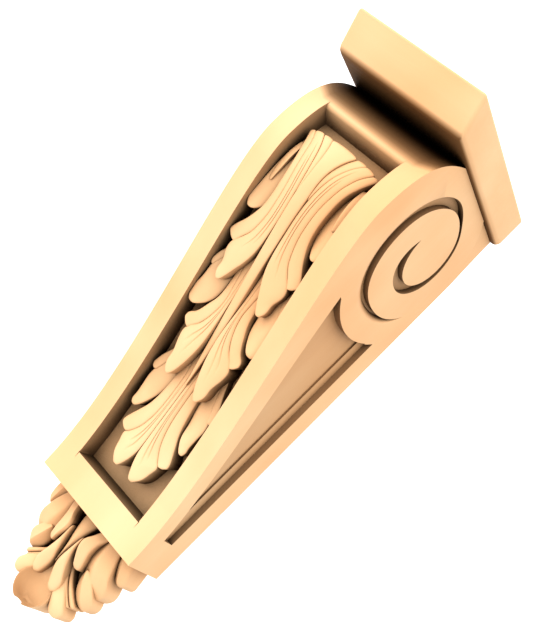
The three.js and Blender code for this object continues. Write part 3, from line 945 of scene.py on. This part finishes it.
def wood(name, tone, grain, shaded=None):
    """Pale carved wood. tone is its colour, and grain the stretch of its figure along X, Y and Z.

    shaded says which faces under the board get painted shade, as in under_board. With "roll" the mesh's own
    attribute of painted shade darkens its sunk faces too."""
    material = bpy.data.materials.new(name)
    material.use_nodes = True
    nodes, links = material.node_tree.nodes, material.node_tree.links
    shader = nodes["Principled BSDF"]
    place = nodes.new("ShaderNodeTexCoord")

    def noise(scale, detail, stretch):
        mapping = nodes.new("ShaderNodeMapping")
        mapping.inputs["Scale"].default_value = stretch
        links.new(place.outputs["Object"], mapping.inputs["Vector"])
        texture = nodes.new("ShaderNodeTexNoise")
        texture.inputs["Scale"].default_value = scale
        texture.inputs["Detail"].default_value = detail
        links.new(mapping.outputs["Vector"], texture.inputs["Vector"])
        return texture.outputs["Fac"]

    def spread(value):
        """The middle of a noise's range becomes 0 to 1."""
        mapped = nodes.new("ShaderNodeMapRange")
        mapped.inputs["From Min"].default_value = 0.3
        mapped.inputs["From Max"].default_value = 0.7
        links.new(value, mapped.inputs["Value"])
        return mapped.outputs["Result"]

    def mix(kind, factor, first, second):
        mixed = nodes.new("ShaderNodeMix")
        mixed.data_type = "RGBA"
        mixed.blend_type = kind
        for socket, value in ((mixed.inputs[0], factor), (mixed.inputs[6], first), (mixed.inputs[7], second)):
            if isinstance(value, bpy.types.NodeSocket):
                links.new(value, socket)
            else:
                socket.default_value = value
        return mixed.outputs[2]

    figure = spread(noise(*FIGURE_NOISE, grain))
    fibres = spread(noise(*FIBRE_NOISE, grain))
    patches = spread(noise(*PATCH_NOISE, (1, 1, 1)))
    streak, patch = ((*(a * b for a, b in zip(tone, shares)), 1) for shares in (STREAK, PATCH))
    colour = mix("MIX", figure, (*tone, 1), streak)
    colour = mix("MIX", patches, colour, mix("MULTIPLY", PATCH_STRENGTH, colour, patch))

    # Painted shade: the crevices are darkened by how little open sky they see
    crevice = nodes.new("ShaderNodeAmbientOcclusion")
    crevice.samples = CREVICE_SAMPLES
    crevice.inputs["Distance"].default_value = CREVICE_REACH
    curve = nodes.new("ShaderNodeValToRGB")
    ramp = curve.color_ramp
    ramp.elements[0].position, ramp.elements[0].color = CREVICE_DARKEST
    ramp.elements[1].position = 1
    ramp.elements[1].color = (1, 1, 1, 1)
    for open_sky, level in CREVICE_TONES:
        step = ramp.elements.new(open_sky)
        step.color = (level, level * CREVICE_GREEN, level * CREVICE_BLUE, 1)
    links.new(crevice.outputs["AO"], curve.inputs["Fac"])
    painted_shade = curve.outputs["Color"]
    # Painted shadow and shade under the board
    if shaded:
        painted_shade = mix("MULTIPLY", 1.0, painted_shade, under_board(nodes, links, place, shaded))
    # Painted shade on the sunk faces, read from the mesh's attribute of painted shade
    if shaded == "roll":
        sunk = nodes.new("ShaderNodeAttribute")
        sunk.attribute_name = "painted_shade"
        painted_shade = mix("MULTIPLY", 1.0, painted_shade, sunk.outputs["Color"])
    links.new(mix("MULTIPLY", 1.0, colour, painted_shade), shader.inputs["Base Color"])
    # The shine follows the painted shade, so that the painted dark crevices don't shine
    shine = nodes.new("ShaderNodeMath")
    shine.operation = "MULTIPLY"
    shine.inputs[1].default_value = SHINE
    links.new(painted_shade, shine.inputs[0])
    links.new(shine.outputs["Value"], shader.inputs["Specular IOR Level"])

    rough = nodes.new("ShaderNodeMapRange")
    rough.inputs["To Min"].default_value, rough.inputs["To Max"].default_value = ROUGHNESS
    links.new(fibres, rough.inputs["Value"])
    links.new(rough.outputs["Result"], shader.inputs["Roughness"])

    bump = nodes.new("ShaderNodeBump")
    bump.inputs["Strength"].default_value = BUMP_STRENGTH
    bump.inputs["Distance"].default_value = BUMP_HEIGHT
    links.new(fibres, bump.inputs["Height"])
    links.new(bump.outputs["Normal"], shader.inputs["Normal"])
    return material


# Two faces that meet at more than this have a sharp edge between them
SHARP_ANGLE = math.radians(32)


def finish_piece(piece, node, material):
    mesh = piece.data
    mesh.materials.clear()
    mesh.materials.append(material)
    mesh.shade_smooth()
    mesh.set_sharp_from_angle(angle=SHARP_ANGLE)
    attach(piece, "root")
    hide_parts(node)


# The studio

# The dome's light: its middle level, and how much it gains along X, Y and Z
DOME_LEVEL = 1.6
DOME_SLOPE = (-0.42, -0.34, 0.56)
# The lamp, in metres and watts
KEY_PLACE = (-0.7, -1.5, 1.3)
KEY_AIM = (0, -0.06, 0)
KEY_SIZE = 1.6
KEY_POWER = 6
# How far the floor lies below the part, in metres, and how far it reaches, in millimetres
FLOOR_DROP = 0.25
FLOOR_REACH = 4000.0
FLOOR_TONE = (0.95, 0.95, 0.95, 1)
FLOOR_ROUGHNESS = 0.9


def make_camera():
    """The camera stands where the photograph was taken from, as solved from the part's straight edges.

    The solve's unit of length is the block's width, and its origin the foot of the block at the wall."""
    block_width = 100
    focal_px, long_side_px, sensor = 1168.27, 622.0, 36.0
    spin = np.array([1.2004, 0.9235, 0.2150])
    shift = np.array([-1.0645, 1.4954, 8.0531]) * block_width
    angle = np.linalg.norm(spin)
    turn = np.array(Matrix.Rotation(angle, 3, (spin / angle).tolist()))
    data = bpy.data.cameras.new("camera")
    data.lens = focal_px * sensor / long_side_px
    data.sensor_width = sensor
    data.clip_start = 0.01
    camera = bpy.data.objects.new("camera", data)
    bpy.context.scene.collection.objects.link(camera)
    place = Matrix((turn.T @ np.diag([1.0, -1.0, -1.0])).tolist()).to_4x4()
    place.translation = to_row(-turn.T @ shift).tolist()
    camera.matrix_world = place
    bpy.context.scene.camera = camera


def area_light(name, place, aim, size, power):
    data = bpy.data.lights.new(name, "AREA")
    data.shape = "DISK"
    data.size = size
    data.energy = power
    light = bpy.data.objects.new(name, data)
    bpy.context.scene.collection.objects.link(light)
    place, aim = (np.array(p, float) for p in (place, aim))
    away = Matrix.Translation(place.tolist())
    direction = (aim - place) / np.linalg.norm(aim - place)
    turn = Vector(direction.tolist()).to_track_quat("-Z", "Y").to_matrix()
    light.matrix_world = away @ turn.to_4x4()


def make_studio():
    """A soft white dome, brighter overhead and to the left, and a white floor far below."""
    world = bpy.data.worlds.new("studio")
    bpy.context.scene.world = world
    world.use_nodes = True
    nodes, links = world.node_tree.nodes, world.node_tree.links
    backdrop = nodes["Background"]
    place = nodes.new("ShaderNodeTexCoord")
    slope = nodes.new("ShaderNodeVectorMath")
    slope.operation = "DOT_PRODUCT"
    slope.inputs[1].default_value = DOME_SLOPE
    links.new(place.outputs["Generated"], slope.inputs[0])
    level = nodes.new("ShaderNodeMath")
    level.operation = "ADD"
    level.inputs[1].default_value = DOME_LEVEL
    links.new(slope.outputs["Value"], level.inputs[0])
    links.new(level.outputs["Value"], backdrop.inputs["Strength"])
    backdrop.inputs["Color"].default_value = (1, 1, 1, 1)
    area_light("key", KEY_PLACE, KEY_AIM, KEY_SIZE, KEY_POWER)
    floor_height = (cad_low.z - FLOOR_DROP) / MM + FOOT
    reach = FLOOR_REACH
    corners = [(-reach, -reach), (reach, -reach), (reach, reach), (-reach, reach)]
    floor = mesh_piece("floor", [(x, y, floor_height) for x, y in corners], [(0, 1, 2, 3)])
    paint = bpy.data.materials.new("floor_paint")
    paint.use_nodes = True
    shader = paint.node_tree.nodes["Principled BSDF"]
    shader.inputs["Base Color"].default_value = FLOOR_TONE
    shader.inputs["Roughness"].default_value = FLOOR_ROUGHNESS
    floor.data.materials.append(paint)
    floor.visible_diffuse = False
    floor.visible_glossy = False
    view = bpy.context.scene.view_settings
    view.view_transform = "Standard"
    view.look = "None"


make_camera()
make_studio()
finish_piece(make_body(), "body", wood("body_wood", TONE, UPRIGHT_GRAIN, "roll"))
finish_piece(make_cap(), "cap", wood("cap_wood", TONE, CROSS_GRAIN, "underside"))
leaf_wood = wood("leaf_wood", TONE, LEAF_GRAIN)
finish_piece(make_panel_leaf(), "panel_leaf", leaf_wood)
finish_piece(make_drop_leaf(), "drop_leaf", leaf_wood)
